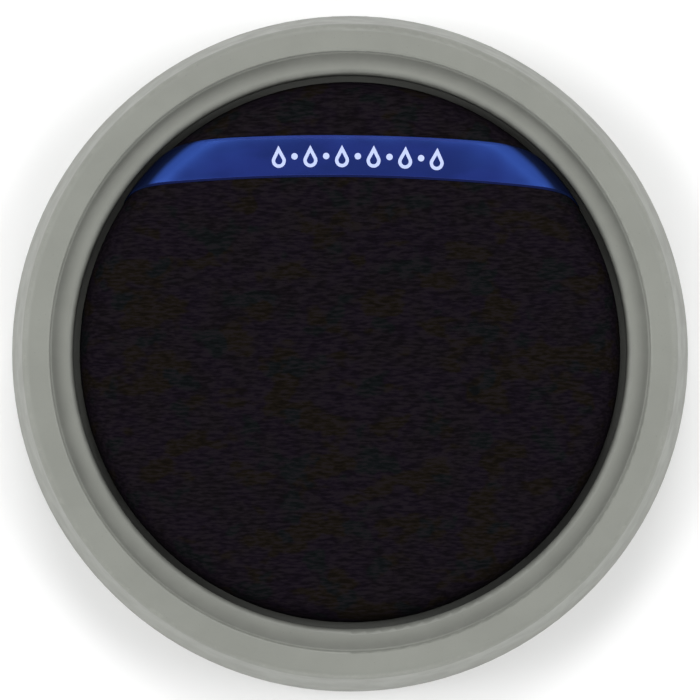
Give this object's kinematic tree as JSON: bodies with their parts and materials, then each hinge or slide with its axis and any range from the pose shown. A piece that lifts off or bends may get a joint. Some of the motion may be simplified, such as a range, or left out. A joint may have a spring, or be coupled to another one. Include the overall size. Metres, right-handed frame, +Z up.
{
  "type": "round ink pad",
  "caption": "Round felt ink pad in a grey moulded case with a ledge for its lid, a satin ribbon across the pad, and the lid stowed in a recess under the case.",
  "frame": {"origin": "centre of the case's foot, on the surface the pad stands on", "axes": "+Z up out of the well, +Y from the pad's middle towards the ribbon, +X to the right along the ribbon"},
  "size_m": [0.146, 0.146, 0.02],
  "materials": {
    "case_plastic": "satin moulded grey",
    "adhesive": "matte",
    "board": "matte",
    "foam": "open-cell foam soaked with dark ink",
    "felt": "felt soaked with dark ink",
    "inked_cloth": "fine woven cloth, soaked with dark ink",
    "satin": "satin weave with a selvedge",
    "print_ink": "matte screen print",
    "label_paper": "semi-matte coated paper"
  },
  "bodies": {
    "lid": {"lid": "case_plastic", "lid_label": "label_paper"},
    "tray": {"tray": "case_plastic", "adhesive_disc": "adhesive", "backing_board": "board", "foam_core": "foam", "wick_felt": "felt", "pad_cloth": "inked_cloth", "ribbon": "satin", "ribbon_print": "print_ink"}
  },
  "joints": [
    {"name": "tray_lift", "type": "slide", "parent": "lid", "child": "tray", "axis": [0, 0, 1], "range_m": [0, 0.035]}
  ]
}
